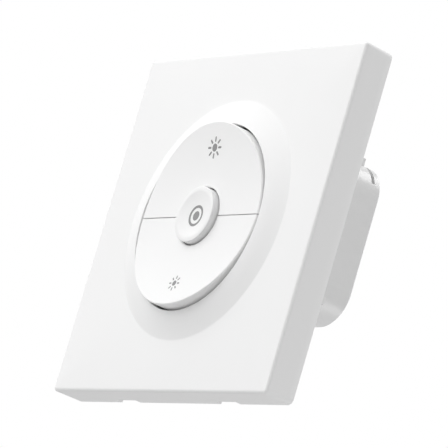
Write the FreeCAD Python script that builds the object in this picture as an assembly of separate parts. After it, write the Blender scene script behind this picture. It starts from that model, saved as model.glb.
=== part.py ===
import FreeCAD, Part
import math
import os

# Wall dimmer key. Millimetres. The origin is the centre of the wall plane,
# X runs to the right, Z runs up and the front looks along -Y.
V = FreeCAD.Vector
ACROSS = V(1, 0, 0)
INTO_WALL = V(0, 1, 0)
UP = V(0, 0, 1)

# How far a cutting body reaches past what it cuts
past = 1.0

# Cover plate
plate_side = 86.0
plate_depth = 8.4
plate_flare = 0.35
plate_wall = 1.8
plate_skin = 1.8
plate_corner_front = 0.9
plate_corner_back = 1.5
least_corner = 0.1
plate_edge_round = 0.8
edge_steps = 3
notch_width = 7.7
notch_depth = 1.7
notch_left_x = -21.5
notch_right_x = 18.6

# Raised collar round the keys
collar_base_r = 30.2
collar_rise = 2.05
key_hole_r = 23.5
collar_back_break = 1.35

# Rocker keys
key_gap = 0.42
key_face_curve = 101.0
key_face = 1.5
key_skirt = 1.3
key_edge_break = 0.25
split_gap = 0.26
key_rib = 1.0
post_width = 2.4
post_rib = 1.0
push_z = 16.0
push_gap = 0.05

# Hinge of each rocker key
hinge_x = 14.5
hinge_z = 2.6
hinge_pin_r = 0.8
hinge_fit = 0.06
hinge_rise = 1.4
lug_width = 1.6
lug_edge = 0.3
lug_side_gap = 0.15
cradle_width = 1.8
cradle_wall = 0.75
cradle_cover = 0.5

# Hooks that stop each rocker key from coming out
hook_x = 8.5
hook_z = 18.6
hook_width = 2.4
hook_thickness = 1.0
hook_barb = 0.8
hook_barb_height = 0.75
hook_gap = 0.3
rest_gap = 0.05

# Power button
button_r = 7.0
button_gap = 0.36
button_proud = 1.55
button_dish = 0.5
button_rim_round = 0.45
dish_r = 5.9
dish_flat_r = 4.4
rim_steps = 2
button_face = 1.5
button_skirt = 1.2
button_end_gap = 0.8
guide_fit = 0.08
guide_wall = 0.95
guide_height = 3.0
leg_wall = 0.9
leg_gap = 0.15
leg_width = 2.4
leg_barb = 0.75
leg_barb_height = 0.85
leg_barb_front = 2.05

# Push switches
switch_side = 6.0
switch_height = 2.0
switch_corner = 0.6
plunger_r = 1.6
plunger_fit = 0.08
plunger_proud = 1.0
plunger_seat = 0.5
press_travel = 0.5
press_spare = 0.1
switch_leg_width = 0.7
switch_leg_reach = 0.5
switch_leg_thickness = 0.2
switch_leg_z = 2.25

# Layers between the wall plane and the keys
web = 1.9
board_pad = 0.3
key_board_thickness = 1.2
carrier_gap = 1.1
carrier_thickness = 1.4
running_gap = 0.3
key_run = 1.0
inner_wall_gap = 2.3

# Key carrier and key board
carrier_width = 51.6
carrier_height = 52.0
carrier_corner = 9.8
clip_x = 12.9
clip_width = 4.4
clip_gap = 0.1
clip_arm = 1.2
clip_barb = 0.7
clip_barb_height = 0.4
window_gap = 0.4
key_board_height = 38.4
board_screw_gap = 0.5
key_board_corner = 6.0
board_notch_gap = 0.4
pad_side = 2.4
pad_ring = 16.5

# Screws
house_head_r = 2.1
house_head = 1.3
house_shank_r = 1.2
house_bite = 6.0
thread_gap = 0.02
shank_gap = 0.2
hole_spare = 0.3
screw_slot = 0.5
screw_slot_depth = 0.5

# Mounting frame
frame_gap = 0.3
frame_wall = 1.4
frame_front_gap = 0.3
frame_corner = 1.2
box_screw_spacing = 60.3
box_slot_r = 2.1
box_slot_length = 7.4
frame_rib = 1.2
frame_rib_depth = 2.5
frame_rib_offset = 9.0
frame_rib_start = 28.0
snap_z = 17.0
snap_width = 6.0
snap_slit = 0.6
snap_barb = 0.25
snap_barb_front = 4.4
snap_barb_height = 1.4
snap_play = 0.1
snap_ridge = 0.22
snap_ridge_height = 0.8
toe_width = 1.8
toe_reach = 2.2
toe_proud = 0.25

# Wireless module, processor and lamp on the key board
radio_width = 10.0
radio_height = 9.0
radio_board_thickness = 0.8
radio_x = -10.2
radio_z = -10.0
shield_width = 8.2
shield_height = 6.4
shield_thickness = 1.5
chip_side = 5.0
chip_thickness = 0.9
chip_x = 10.0
chip_z = 9.0
lamp_width = 1.6
lamp_height = 0.8
lamp_thickness = 0.6
lamp_z = 3.9

# Plug between the two boards
pin_count = 5
pin_pitch = 2.0
pin_side = 0.6
pin_gap = 0.05
pin_tail = 0.7
pin_reach = 3.9
plug_x = 9.0
plug_rise = 7.7
plug_body = 2.0
plug_window_gap = 0.5
socket_height = 2.6
socket_length = 4.5

# Rear housing
housing_width = 50.0
housing_height = 40.0
housing_depth = 20.5
housing_up = 3.3
housing_corner = 8.3
housing_wall = 1.6
housing_edge_break = 0.4
post_inset = 4.4
post_side = 4.6
post_step = 0.9
post_end = 16.4
vent_front = 17.6
vent_width = 1.0
vent_start_z = 18.4
vent_start_x = 15.0

# Power board
power_board_gap = 0.4
power_board_y = 5.2
power_board_thickness = 1.6
power_notch_gap = 0.35

# Wire terminals
pole_count = 3
pole_pitch = 9.0
wire_r = 1.8
block_gap = 0.3
block_height = 11.9
block_end_wall = 1.9
block_lead_in = 2.4
cage_width = 5.6
cage_height = 8.0
cage_depth = 9.0
cage_wall = 0.8
cage_opening = 4.0
cage_gap = 0.1
screw_set_back = 1.4
clamp_r = 1.7
clamp_stand = 0.6

# Parts on the power board
fuse_side = 3.0
fuse_length = 10.0
fuse_cap = 2.2
fuse_cap_wall = 0.15
fuse_x = -17.2
fuse_gap = 2.1
film_width = 13.0
film_height = 6.0
film_depth = 11.0
film_x = -14.2
film_gap = 0.5
bulk_r = 4.0
bulk_length = 10.5
bulk_x = 5.0
bulk_gap = 1.9
choke_side = 8.6
choke_length = 8.5
choke_flange = 1.5
choke_leg = 3.8
choke_wire = 1.85
coil_gap = 0.05
choke_x = -3.2
choke_gap = 1.4
trafo_width = 11.0
trafo_depth = 9.0
trafo_core = 4.4
trafo_coil = 8.8
trafo_leg = 2.8
trafo_yoke = 1.4
trafo_x = 14.8
trafo_gap = 0.3
varistor_r = 3.6
varistor_thickness = 3.2
varistor_x = -10.9
varistor_gap = 1.7
transistor_width = 10.0
transistor_height = 4.4
transistor_depth = 8.8
transistor_lead = 1.8
lead_width = 0.8
lead_thickness = 0.5
lead_pitch = 2.5
transistor_x = 0.0
transistor_pitch = 12.0
sink_width = 34.0
sink_thickness = 1.5
sink_depth = 10.4
sink_x = 3.8
sink_gap = 0.5
bridge_width = 6.5
bridge_height = 4.7
bridge_depth = 1.6
bridge_x = -10.0
bridge_z = 8.0

# Levels along Y that follow from the layers
plate_front = -plate_depth
plate_inner = plate_front + plate_skin
collar_top = plate_front - collar_rise
web_front = -web
web_middle = -web / 2
key_board_back = web_front - board_pad
key_board_front = key_board_back - key_board_thickness
carrier_back = key_board_front - carrier_gap
carrier_front = carrier_back - carrier_thickness
skirt_end = carrier_front - key_run
inner_wall_end = carrier_front - inner_wall_gap
hinge_y = carrier_front - hinge_rise
switch_front = key_board_front - switch_height
plunger_tip = switch_front - plunger_proud
post_tip = plunger_tip - push_gap
frame_front = plate_inner + frame_front_gap
key_front_limit = collar_top - 2 * collar_rise - button_proud
power_board_back = power_board_y + power_board_thickness
housing_inner_back = housing_depth - housing_wall

# Heights that follow from the housing
housing_low = housing_up - housing_height / 2
room_top = housing_up + housing_height / 2 - housing_wall
post_half = post_side / 2 + post_step
top_post_edge = housing_up + housing_height / 2 - post_inset - post_half
low_post_edge = housing_low + post_inset + post_half
block_top = housing_low + block_height
plug_z = housing_low + plug_rise
fuse_z = low_post_edge + fuse_gap + fuse_length / 2
film_z = top_post_edge - film_gap - film_height / 2
bulk_z = room_top - bulk_gap - bulk_r
choke_z = top_post_edge - choke_gap - choke_side / 2
trafo_z = top_post_edge - trafo_gap - trafo_coil / 2
varistor_z = room_top - varistor_gap - varistor_thickness / 2
sink_z = block_top + sink_gap

# Radii that follow from the fits
key_r = key_hole_r - key_gap
button_hole_r = button_r + button_gap
guide_r = button_r - button_skirt - guide_fit
guide_bore_r = guide_r - guide_wall


def span_box(x, y, z):
    """Block between three (low, high) pairs."""
    return Part.makeBox(x[1] - x[0], y[1] - y[0], z[1] - z[0], V(x[0], y[0], z[0]))


def block(cx, cz, width, height, y):
    """Block centred on (cx, cz) and running along Y between a pair of levels."""
    across = (cx - width / 2, cx + width / 2)
    upright = (cz - height / 2, cz + height / 2)
    return span_box(across, y, upright)


def rod_y(radius, y, x=0.0, z=0.0):
    return Part.makeCylinder(radius, y[1] - y[0], V(x, y[0], z), INTO_WALL)


def rod_x(radius, x, y, z):
    return Part.makeCylinder(radius, x[1] - x[0], V(x[0], y, z), ACROSS)


def rod_z(radius, z, x, y):
    return Part.makeCylinder(radius, z[1] - z[0], V(x, y, z[0]), UP)


def tube_y(outer, inner, y, x=0.0, z=0.0):
    return rod_y(outer, y, x, z).cut(rod_y(inner, y, x, z))


def rounded_wire(width, height, radius, y, cx=0.0, cz=0.0):
    """Closed outline of a rectangle with rounded corners, in the plane at y."""
    half_w = width / 2
    half_h = height / 2
    bend = radius * (1 - math.sqrt(0.5))
    edges = []
    corners = [(1, 1), (-1, 1), (-1, -1), (1, -1)]
    arcs = []
    for sx, sz in corners:
        side = V(cx + sx * half_w, y, cz + sz * (half_h - radius))
        middle = V(cx + sx * (half_w - bend), y, cz + sz * (half_h - bend))
        top = V(cx + sx * (half_w - radius), y, cz + sz * half_h)
        ends = (side, middle, top) if sx * sz > 0 else (top, middle, side)
        arcs.append(ends)
    for here, following in zip(arcs, arcs[1:] + arcs[:1]):
        edges.append(Part.Arc(*here).toShape())
        edges.append(Part.LineSegment(here[2], following[0]).toShape())
    return Part.Wire(edges)


def rounded_prism(width, height, radius, y, cx=0.0, cz=0.0):
    face = Part.Face(rounded_wire(width, height, radius, y[0], cx, cz))
    return face.extrude(V(0, y[1] - y[0], 0))


def turned(points):
    """Solid turned about the Y axis from a closed outline of (radius, y) points."""
    corners = [V(r, y, 0) for r, y in points]
    outline = Part.makePolygon(corners + corners[:1])
    return Part.Face(outline).revolve(V(0, 0, 0), INTO_WALL, 360)


def drawn_z(points, z):
    """Solid drawn along Z from a closed outline of (x, y) points."""
    corners = [V(x, y, z[0]) for x, y in points]
    outline = Part.makePolygon(corners + corners[:1])
    return Part.Face(outline).extrude(V(0, 0, z[1] - z[0]))


def drawn_x(points, x):
    """Solid drawn along X from a closed outline of (y, z) points."""
    corners = [V(x[0], y, z) for y, z in points]
    outline = Part.makePolygon(corners + corners[:1])
    return Part.Face(outline).extrude(V(x[1] - x[0], 0, 0))


def flipped_x(shape):
    return shape.mirror(V(0, 0, 0), ACROSS)


def flipped_z(shape):
    return shape.mirror(V(0, 0, 0), UP)


def both_sides(shape):
    return [shape, flipped_x(shape)]


def four_ways(shape):
    return both_sides(shape) + both_sides(flipped_z(shape))


def cut_corners(shape, size):
    """Block with its corner edges along Y cut off."""
    corners = [e for e in shape.Edges if abs(abs(e.tangentAt(e.FirstParameter).y) - 1) < 1e-6]
    return shape.makeChamfer(size, corners)


def joined(shapes):
    return shapes[0].multiFuse(shapes[1:]).removeSplitter()


def without(shape, tools):
    return shape.cut(Part.Compound(tools))


def plate_half(y, inset=0.0):
    """Half the plate's side at a level, where the skirt flares towards the wall."""
    return plate_side / 2 + plate_flare * y / plate_depth - inset


def plate_section(y, inset):
    """Outline of the skirt at a level, set in from the outside."""
    toward_front = -y / plate_depth
    outer_corner = plate_corner_back + (plate_corner_front - plate_corner_back) * toward_front
    corner = max(outer_corner - inset, least_corner)
    side = 2 * plate_half(y, inset)
    return rounded_wire(side, side, corner, y)


def plate_loft(places):
    """Tapered block through outlines given as (level, inset)."""
    return Part.makeLoft([plate_section(y, inset) for y, inset in places], True, True)


def plate_outside():
    """Skirt with its front edge rounded in a few flats."""
    places = []
    for step in range(edge_steps + 1):
        turn = math.radians(90 * step / edge_steps)
        level = plate_front + plate_edge_round * (1 - math.sin(turn))
        places.append((level, plate_edge_round * (1 - math.cos(turn))))
    return plate_loft([(0.0, 0.0)] + places)


def edges_at_level(shape, y):
    return [e for e in shape.Edges if all(abs(v.Y - y) < 1e-6 for v in e.Vertexes)]


def collar_cone():
    """Raised cone that ends in a crisp edge round the key hole."""
    return turned([
        (0, plate_inner),
        (collar_base_r, plate_inner),
        (collar_base_r, plate_front),
        (key_hole_r, collar_top),
        (0, collar_top),
    ])


def key_hole():
    """Round hole for the keys, widened a little at the back."""
    wide = key_hole_r + collar_back_break
    level = plate_inner - collar_back_break
    return turned([
        (0, collar_top - past),
        (key_hole_r, collar_top - past),
        (key_hole_r, level),
        (wide, plate_inner),
        (wide, 0),
        (0, 0),
    ])


def snap_ridges():
    """Small ridges inside the skirt, which the frame's snap arms hold."""
    front = -snap_barb_front + snap_barb_height + snap_play
    back = front + snap_ridge_height
    wall = plate_half(plate_inner, plate_wall)
    outline = [
        (wall - snap_ridge, front),
        (wall + plate_wall / 2, front),
        (wall + plate_wall / 2, back + snap_ridge),
        (wall, back + snap_ridge),
        (wall - snap_ridge, back),
    ]
    ridge = drawn_z(outline, (snap_z - snap_width / 2, snap_z + snap_width / 2))
    return four_ways(ridge)


def pry_notches():
    """Cuts in the lower rear edge, where a blade lifts the plate off."""
    low = -plate_half(0) - past
    high = -plate_half(plate_inner, plate_wall) + past
    return [
        span_box((x - notch_width / 2, x + notch_width / 2), (-notch_depth, past), (low, high))
        for x in (notch_left_x, notch_right_x)
    ]


def cover_plate():
    side = 2 * plate_half(plate_inner, plate_wall)
    room = block(0, 0, side, side, (plate_inner, past))
    shell = plate_outside().fuse(collar_cone()).cut(room)
    shell = joined([shell] + snap_ridges())
    return without(shell, [key_hole()] + pry_notches()).removeSplitter()


def face_curve(extra=0.0):
    """Cylinder in front of the keys whose surface is their concave face."""
    reach = key_r + past
    return rod_x(key_face_curve + extra, (-reach, reach), collar_top - key_face_curve, 0)


def face_rims(shape):
    """Curved edges of the face: along the outside and round the button hole."""
    found = []
    for edge in shape.Edges:
        if isinstance(edge.Curve, (Part.Line, Part.Circle)):
            continue
        points = edge.discretize(7)
        for radius in (key_r, button_hole_r):
            if all(abs(math.hypot(p.x, p.z) - radius) < 1e-3 for p in points):
                found.append(edge)
    return found


def key_blank():
    """Both keys in one piece: concave face, skirt and button hole."""
    disc = tube_y(key_r, button_hole_r, (key_front_limit, skirt_end))
    return disc.cut(face_curve())


def upper_half(low):
    reach = key_r + past
    return span_box((-reach, reach), (key_front_limit - past, 0), (low, reach))


def key_room():
    """Space behind the face of the upper key, inside its walls."""
    room = tube_y(key_r - key_skirt, button_hole_r + key_skirt, (key_front_limit, 0))
    room = room.cut(face_curve(key_face))
    return room.common(upper_half(split_gap / 2 + key_skirt))


def push_post(front, z):
    """Cross-shaped post that presses a switch plunger."""
    y = (front, post_tip)
    upright = block(0, z, post_rib, post_width, y)
    across = block(0, z, post_width, post_rib, y)
    return upright.fuse(across)


def behind_face(shape):
    """The part of a shape that lies behind the middle of the face wall."""
    return shape.cut(face_curve(key_face / 2))


def key_ribs():
    """Upright rib through the push post."""
    inner = rod_y(key_r - key_skirt / 2, (key_front_limit, inner_wall_end))
    inner = inner.cut(rod_y(button_hole_r + key_skirt / 2, (key_front_limit, 0)))
    ribs = inner.common(block(0, key_r / 2, key_rib, key_r, (key_front_limit, inner_wall_end)))
    ribs = ribs.common(upper_half(split_gap / 2 + key_skirt / 2))
    return behind_face(ribs).Solids


def hinge_lug():
    """Lug with an outward pin, at the right of the upper key."""
    half = lug_width / 2
    edge = hinge_pin_r + lug_edge
    x = (hinge_x - half, hinge_x + half)
    lug = span_box(x, (key_front_limit, hinge_y + edge), (hinge_z - edge, hinge_z + edge))
    end = hinge_x + half + lug_side_gap + cradle_width
    pin = rod_x(hinge_pin_r, (hinge_x, end), hinge_y, hinge_z)
    return joined([behind_face(lug), pin])


def stop_hook():
    """Arm with a barb that catches behind the carrier."""
    barb_front = carrier_back + rest_gap
    end = barb_front + hook_barb_height
    low = hook_z - hook_thickness / 2
    high = hook_z + hook_thickness / 2
    outline = [
        (key_front_limit, low),
        (key_front_limit, high),
        (barb_front, high),
        (barb_front, high + hook_barb),
        (end, high),
        (end, low),
    ]
    arm = drawn_x(outline, (hook_x - hook_width / 2, hook_x + hook_width / 2))
    return behind_face(arm)


def upper_rocker():
    shell = key_blank().common(upper_half(split_gap / 2))
    shell = shell.cut(key_room())
    short_walls = rod_y(key_r - key_skirt, (inner_wall_end, 0))
    shell = shell.cut(short_walls)
    pieces = [shell, behind_face(push_post(key_front_limit, push_z))] + key_ribs()
    pieces += both_sides(hinge_lug()) + both_sides(stop_hook())
    rocker = joined(pieces)
    return rocker.makeChamfer(key_edge_break, face_rims(rocker))


def button_inside():
    return collar_top - button_proud + button_dish + button_face


def arc_points(centre_r, centre_y, radius, first, last, steps):
    """Points (radius, y) along an arc, its angles counted from the front."""
    points = []
    for step in range(steps + 1):
        turn = first + (last - first) * step / steps
        points.append((centre_r + radius * math.sin(turn), centre_y - radius * math.cos(turn)))
    return points


def button_cap():
    """Shallow dish, a narrow flat land round it, a soft edge and a skirt behind."""
    crest = collar_top - button_proud
    rim_r = button_r - button_rim_round
    rim = arc_points(rim_r, crest + button_rim_round, button_rim_round, 0, math.pi / 2, rim_steps)
    end = carrier_front - button_end_gap
    bore = button_r - button_skirt
    inside = button_inside()
    middle = crest + button_dish
    dish = [(0, middle), (dish_flat_r, middle), (dish_r, crest)]
    back = [(button_r, end), (bore, end), (bore, inside), (0, inside)]
    return turned(dish + rim + back)


def button_leg():
    """Leg inside the guide tube, with a barb that stands in the tube's window."""
    inside = button_inside()
    outer = guide_bore_r - leg_gap
    barb_front = carrier_front - leg_barb_front
    barb_end = barb_front + leg_barb_height
    leg = tube_y(outer, outer - leg_wall, (inside - button_face / 2, barb_end))
    barb = tube_y(outer + leg_barb, outer - leg_wall / 2, (barb_front, barb_end))
    right = span_box((0, button_r), (inside - button_face, 0), (-leg_width / 2, leg_width / 2))
    return leg.fuse(barb).common(right)


def power_button():
    post = push_post(button_inside() - button_face / 2, 0)
    return joined([button_cap(), post] + both_sides(button_leg()))


def cradle():
    """Open clip that the pin of the upper key's right lug turns in."""
    bore_r = hinge_pin_r + hinge_fit
    height = (hinge_y - cradle_cover, carrier_front)
    x = hinge_x + lug_width / 2 + lug_side_gap + cradle_width / 2
    clip = block(x, hinge_z, cradle_width, 2 * (bore_r + cradle_wall), height)
    return clip.cut(rod_x(bore_r, (x - cradle_width, x + cradle_width), hinge_y, hinge_z))


def guide_tube():
    """Tube that the power button slides on, with two windows for its barbs."""
    front = carrier_front - guide_height
    tube = tube_y(guide_r, guide_bore_r, (front, carrier_front))
    window_front = carrier_front - leg_barb_front - rest_gap
    window_back = window_front + leg_barb_height + press_travel + running_gap
    window = span_box((-button_r, button_r), (window_front, window_back),
                      (-leg_width / 2 - running_gap, leg_width / 2 + running_gap))
    return tube.cut(window)


def switch_places():
    return [(0.0, push_z), (0.0, -push_z)]


def carrier_windows():
    """Openings for the outer switches, the radio, the hooks and the button's switch."""
    y = (carrier_front - past, carrier_back + past)
    side = switch_side + 2 * window_gap
    tools = [block(x, z, side, side, y) for x, z in switch_places()]
    tools.append(rod_y(guide_bore_r, y))
    radio_w = radio_width + 2 * window_gap
    radio_h = radio_height + 2 * window_gap
    tools.append(block(radio_x, radio_z, radio_w, radio_h, y))
    hook_w = hook_width + 2 * hook_gap
    hook_h = hook_thickness + 2 * hook_gap
    tools += four_ways(block(hook_x, hook_z, hook_w, hook_h, y))
    return tools


def key_carrier():
    """Plate with cut corners that holds the keys, their hinges and the guide tube."""
    plate = block(0, 0, carrier_width, carrier_height, (carrier_front, carrier_back))
    plate = cut_corners(plate, carrier_corner)
    plate = without(plate, carrier_windows())
    return joined([plate, guide_tube()] + four_ways(cradle()))


def screw(head_r, head, shank_r, x, z, seat, end):
    """Screw driven along +Y, with its head in front of the seat."""
    return rod_y(head_r, (seat - head, seat), x, z).fuse(rod_y(shank_r, (seat, end), x, z))


def hook_notches():
    """Notches in the key board's edge that the hooks dip into."""
    width = hook_width + 2 * board_notch_gap
    low = hook_z - hook_thickness / 2 - board_notch_gap
    y = (key_board_front - past, key_board_back + past)
    notch = span_box((hook_x - width / 2, hook_x + width / 2), y, (low, key_board_height / 2 + past))
    return four_ways(notch)


def pin_places():
    first = plug_x - pin_pitch * (pin_count - 1) / 2
    return [first + pin_pitch * i for i in range(pin_count)]


def pin_holes(y):
    side = pin_side + 2 * pin_gap
    return [block(x, plug_z, side, side, y) for x in pin_places()]


def key_board_width():
    """Width that leaves room beside the heads of the housing screws."""
    return 2 * (housing_width / 2 - post_inset - house_head_r - board_screw_gap)


def key_board():
    y = (key_board_front, key_board_back)
    board = block(0, 0, key_board_width(), key_board_height, y)
    board = cut_corners(board, key_board_corner)
    return without(board, hook_notches() + pin_holes((y[0] - past, y[1] + past)))


def switch_body(z):
    """Push switch seated on the key board, with four soldered legs."""
    y = (switch_front, key_board_front)
    body = block(0, z, switch_side, switch_side, y)
    body = cut_corners(body, switch_corner)
    cut_r = plunger_r + plunger_fit
    bore_end = switch_front + plunger_seat + press_travel + press_spare
    body = body.cut(rod_y(cut_r, (switch_front - past, bore_end), 0, z))
    leg_w = switch_side + 2 * switch_leg_reach
    leg_y = (key_board_front - switch_leg_thickness, key_board_front)
    legs = [block(0, z + dz, leg_w, switch_leg_width, leg_y) for dz in (-switch_leg_z, switch_leg_z)]
    return joined([body] + legs)


def switch_plunger(z):
    return rod_y(plunger_r, (plunger_tip, switch_front + plunger_seat), 0, z)


def radio_board():
    y = (key_board_front - radio_board_thickness, key_board_front)
    return block(radio_x, radio_z, radio_width, radio_height, y)


def radio_shield():
    """Metal can over the lower part of the radio board, the aerial end left bare."""
    back = key_board_front - radio_board_thickness
    z = radio_z - (radio_height - shield_height) / 2 + (radio_width - shield_width) / 4
    y = (back - shield_thickness, back)
    return block(radio_x, z, shield_width, shield_height, y)


def controller_chip():
    y = (key_board_front - chip_thickness, key_board_front)
    return block(chip_x, chip_z, chip_side, chip_side, y)


def status_lamp():
    y = (key_board_front - lamp_thickness, key_board_front)
    return block(0, lamp_z, lamp_width, lamp_height, y)


def header_body():
    y = (key_board_back, key_board_back + plug_body)
    body = block(plug_x, plug_z, pin_pitch * pin_count, plug_body, y)
    return without(body, pin_holes((y[0] - past, y[1] + past)))


def header_pins():
    y = (key_board_front - pin_tail, pin_reach)
    return Part.Compound([block(x, plug_z, pin_side, pin_side, y) for x in pin_places()])


def header_socket():
    y = (power_board_y - socket_length, power_board_y)
    length = pin_pitch * pin_count + pin_pitch / 4
    body = block(plug_x, plug_z, length, socket_height, y)
    return without(body, pin_holes((y[0] - past, pin_reach + hole_spare)))


def frame_half():
    return plate_half(frame_front, plate_wall) - frame_gap


def post_places():
    half_w = housing_width / 2 - post_inset
    half_h = housing_height / 2 - post_inset
    return [(sx * half_w, housing_up + sz * half_h) for sx in (-1, 1) for sz in (-1, 1)]


def housing_screw_places():
    """Two of the four posts, on a diagonal."""
    return [place for place in post_places() if place[0] * (place[1] - housing_up) > 0]


def frame_ribs():
    """Straight ribs that flank the slots and stiffen the top and bottom."""
    y = (web_front - frame_rib_depth, web_middle)
    end = frame_half() - frame_wall / 2
    beside_slot = span_box((frame_rib_start, end), y,
                           (frame_rib_offset - frame_rib / 2, frame_rib_offset + frame_rib / 2))
    upright = span_box((frame_rib_offset - frame_rib / 2, frame_rib_offset + frame_rib / 2), y,
                       (frame_rib_start, end))
    return four_ways(beside_slot) + four_ways(upright)


def box_slot():
    """Slot for the screw into the wall box, at the right."""
    centre = box_screw_spacing / 2
    straight = box_slot_length / 2 - box_slot_r
    y = (web_front - past, past)
    ends = [rod_y(box_slot_r, y, centre + side * straight, 0) for side in (-1, 1)]
    return joined(ends + [block(centre, 0, 2 * straight, 2 * box_slot_r, y)])


def snap_slits():
    """Slits each side of a snap arm in the frame's right wall."""
    half = frame_half()
    x = (half - frame_wall - past, half + past)
    slits = []
    for side in (-1, 1):
        middle = snap_z + side * (snap_width + snap_slit) / 2
        z = (middle - snap_slit / 2, middle + snap_slit / 2)
        slits.append(span_box(x, (frame_front - past, web_front), z))
    return slits


def snap_barb_piece():
    """Barb on the outside of a snap arm, sloped at the front."""
    half = frame_half()
    front = -snap_barb_front
    back = front + snap_barb_height
    outline = [
        (half - frame_wall / 2, front),
        (half, front),
        (half + snap_barb, front + snap_barb * 2),
        (half + snap_barb, back),
        (half - frame_wall / 2, back),
    ]
    return drawn_z(outline, (snap_z - snap_width / 2, snap_z + snap_width / 2))


def snap_toe():
    """Toe behind the wall plane, pressed to release the plate."""
    half = frame_half()
    x = (half - frame_wall, half + toe_proud)
    return span_box(x, (web_middle, toe_reach), (snap_z - toe_width / 2, snap_z + toe_width / 2))


def board_pads():
    """Short pads on the web that the key board rests on."""
    pads = []
    for angle in (0, 90, 180, 270):
        x = pad_ring * math.cos(math.radians(angle))
        z = pad_ring * math.sin(math.radians(angle))
        pads.append(block(x, z, pad_side, pad_side, (key_board_back, web_middle)))
    return pads


def carrier_clip():
    """Shelf and arm with a barb that hold the carrier's upper edge, at the right."""
    width = (clip_x - clip_width / 2, clip_x + clip_width / 2)
    root = web_middle
    edge = carrier_height / 2
    inner = edge + clip_gap
    over = carrier_front - clip_gap / 2
    outline = [
        (root, edge - clip_arm),
        (carrier_back, edge - clip_arm),
        (carrier_back, inner),
        (over, inner),
        (over, inner - clip_barb),
        (over - clip_barb_height, inner),
        (over - clip_barb_height, inner + clip_arm),
        (root, inner + clip_arm),
    ]
    return drawn_x(outline, width)


def mounting_frame():
    side = 2 * frame_half()
    tray = rounded_prism(side, side, frame_corner, (frame_front, 0))
    room_side = side - 2 * frame_wall
    tray = tray.cut(rounded_prism(room_side, room_side, frame_corner / 2, (frame_front - past, web_front)))
    pieces = [tray] + frame_ribs() + four_ways(snap_barb_piece()) + four_ways(snap_toe())
    pieces += board_pads() + four_ways(carrier_clip())
    tools = both_sides(box_slot())
    for slit in snap_slits():
        tools += four_ways(slit)
    for x, z in housing_screw_places():
        tools.append(rod_y(house_shank_r + shank_gap, (web_front - past, past), x, z))
    window_w = pin_pitch * pin_count + 2 * plug_window_gap
    window_h = plug_body + 2 * plug_window_gap
    tools.append(block(plug_x, plug_z, window_w, window_h, (web_front - past, past)))
    return without(joined(pieces), tools).removeSplitter()


def housing_screws():
    places = housing_screw_places()
    return Part.Compound([
        screw(house_head_r, house_head, house_shank_r, x, z, web_front, house_bite) for x, z in places
    ])


def housing_room(y, gap=0.0):
    """Space inside the rear housing, less a gap all round."""
    inset = housing_wall + gap
    width = housing_width - 2 * inset
    height = housing_height - 2 * inset
    return rounded_prism(width, height, housing_corner - inset, y, 0, housing_up)


def housing_posts():
    """Corner posts with a step behind the power board."""
    room = housing_room((0, housing_inner_back), -housing_wall / 2)
    posts = []
    for x, z in post_places():
        out_x = math.copysign(post_inset, x)
        out_z = math.copysign(post_inset, z - housing_up)
        for side, front in ((post_side, 0), (post_side + 2 * post_step, power_board_back)):
            x_span = sorted((x - math.copysign(side / 2, x), x + out_x))
            z_span = sorted((z - math.copysign(side / 2, z - housing_up), z + out_z))
            posts.append(span_box(x_span, (front, post_end), z_span).common(room))
    return posts


def pole_places():
    first = -pole_pitch * (pole_count - 1) / 2
    return [first + pole_pitch * i for i in range(pole_count)]


def pole_z():
    return housing_low + block_lead_in + cage_height / 2


def block_width():
    return pole_pitch * (pole_count - 1) + cage_width + 2 * block_end_wall


def block_window():
    """Corner window at the bottom and back, filled by the terminal block."""
    half = block_width() / 2 + block_gap
    y = (power_board_back - block_gap, housing_depth + past)
    return span_box((-half, half), y, (housing_low - past, block_top + block_gap))


def corner_vents():
    """Slots round the upper rear corners, through the housing's wall."""
    reach = housing_width / 2 + past
    top = housing_up + housing_height / 2 + past
    slot = span_box((vent_start_x, reach), (vent_front, vent_front + vent_width), (vent_start_z, top))
    return both_sides(slot)


def rear_housing():
    y = (0, housing_depth)
    body = rounded_prism(housing_width, housing_height, housing_corner, y, 0, housing_up)
    body = body.makeChamfer(housing_edge_break, edges_at_level(body, housing_depth))
    body = body.cut(housing_room((-past, housing_inner_back)))
    body = joined([body] + housing_posts())
    tools = corner_vents()
    for x, z in housing_screw_places():
        tools.append(rod_y(house_shank_r + thread_gap, (-past, house_bite + hole_spare), x, z))
    tools.append(block_window())
    return without(body, tools)


def power_board():
    y = (power_board_y, power_board_back)
    board = housing_room(y, power_board_gap)
    side = post_side + 2 * power_notch_gap
    tools = []
    for x, z in post_places():
        out_x = x + math.copysign(post_inset, x)
        out_z = z + math.copysign(post_inset, z - housing_up)
        x_span = sorted((x - math.copysign(side / 2, x), out_x))
        z_span = sorted((z - math.copysign(side / 2, z - housing_up), out_z))
        tools.append(span_box(x_span, (y[0] - past, y[1] + past), z_span))
    return without(board, tools)


def cage_span():
    """Levels of the front and back of a brass cage."""
    back = housing_depth - screw_set_back
    return (back - cage_depth, back)


def terminal_block():
    """Moulded block with a pocket open to the back and a wire hole for each pole."""
    y = (power_board_back, housing_depth)
    body = block(0, housing_low + block_height / 2, block_width(), block_height, y)
    tools = []
    for x in pole_places():
        pocket = (cage_span()[0] - cage_gap, y[1] + past)
        width = cage_width + 2 * cage_gap
        tools.append(block(x, pole_z(), width, cage_height + 2 * cage_gap, pocket))
        tools.append(rod_z(wire_r, (housing_low - past, pole_z()), x, wire_y()))
    return without(body, tools)


def wire_y():
    """Level of the wire's axis, in the middle of the cage's opening."""
    front = cage_span()[0]
    return front + cage_wall + cage_opening / 2


def clamp_hole(x, radius, start):
    return rod_y(radius, (start, cage_span()[1] + past), x, pole_z())


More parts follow.
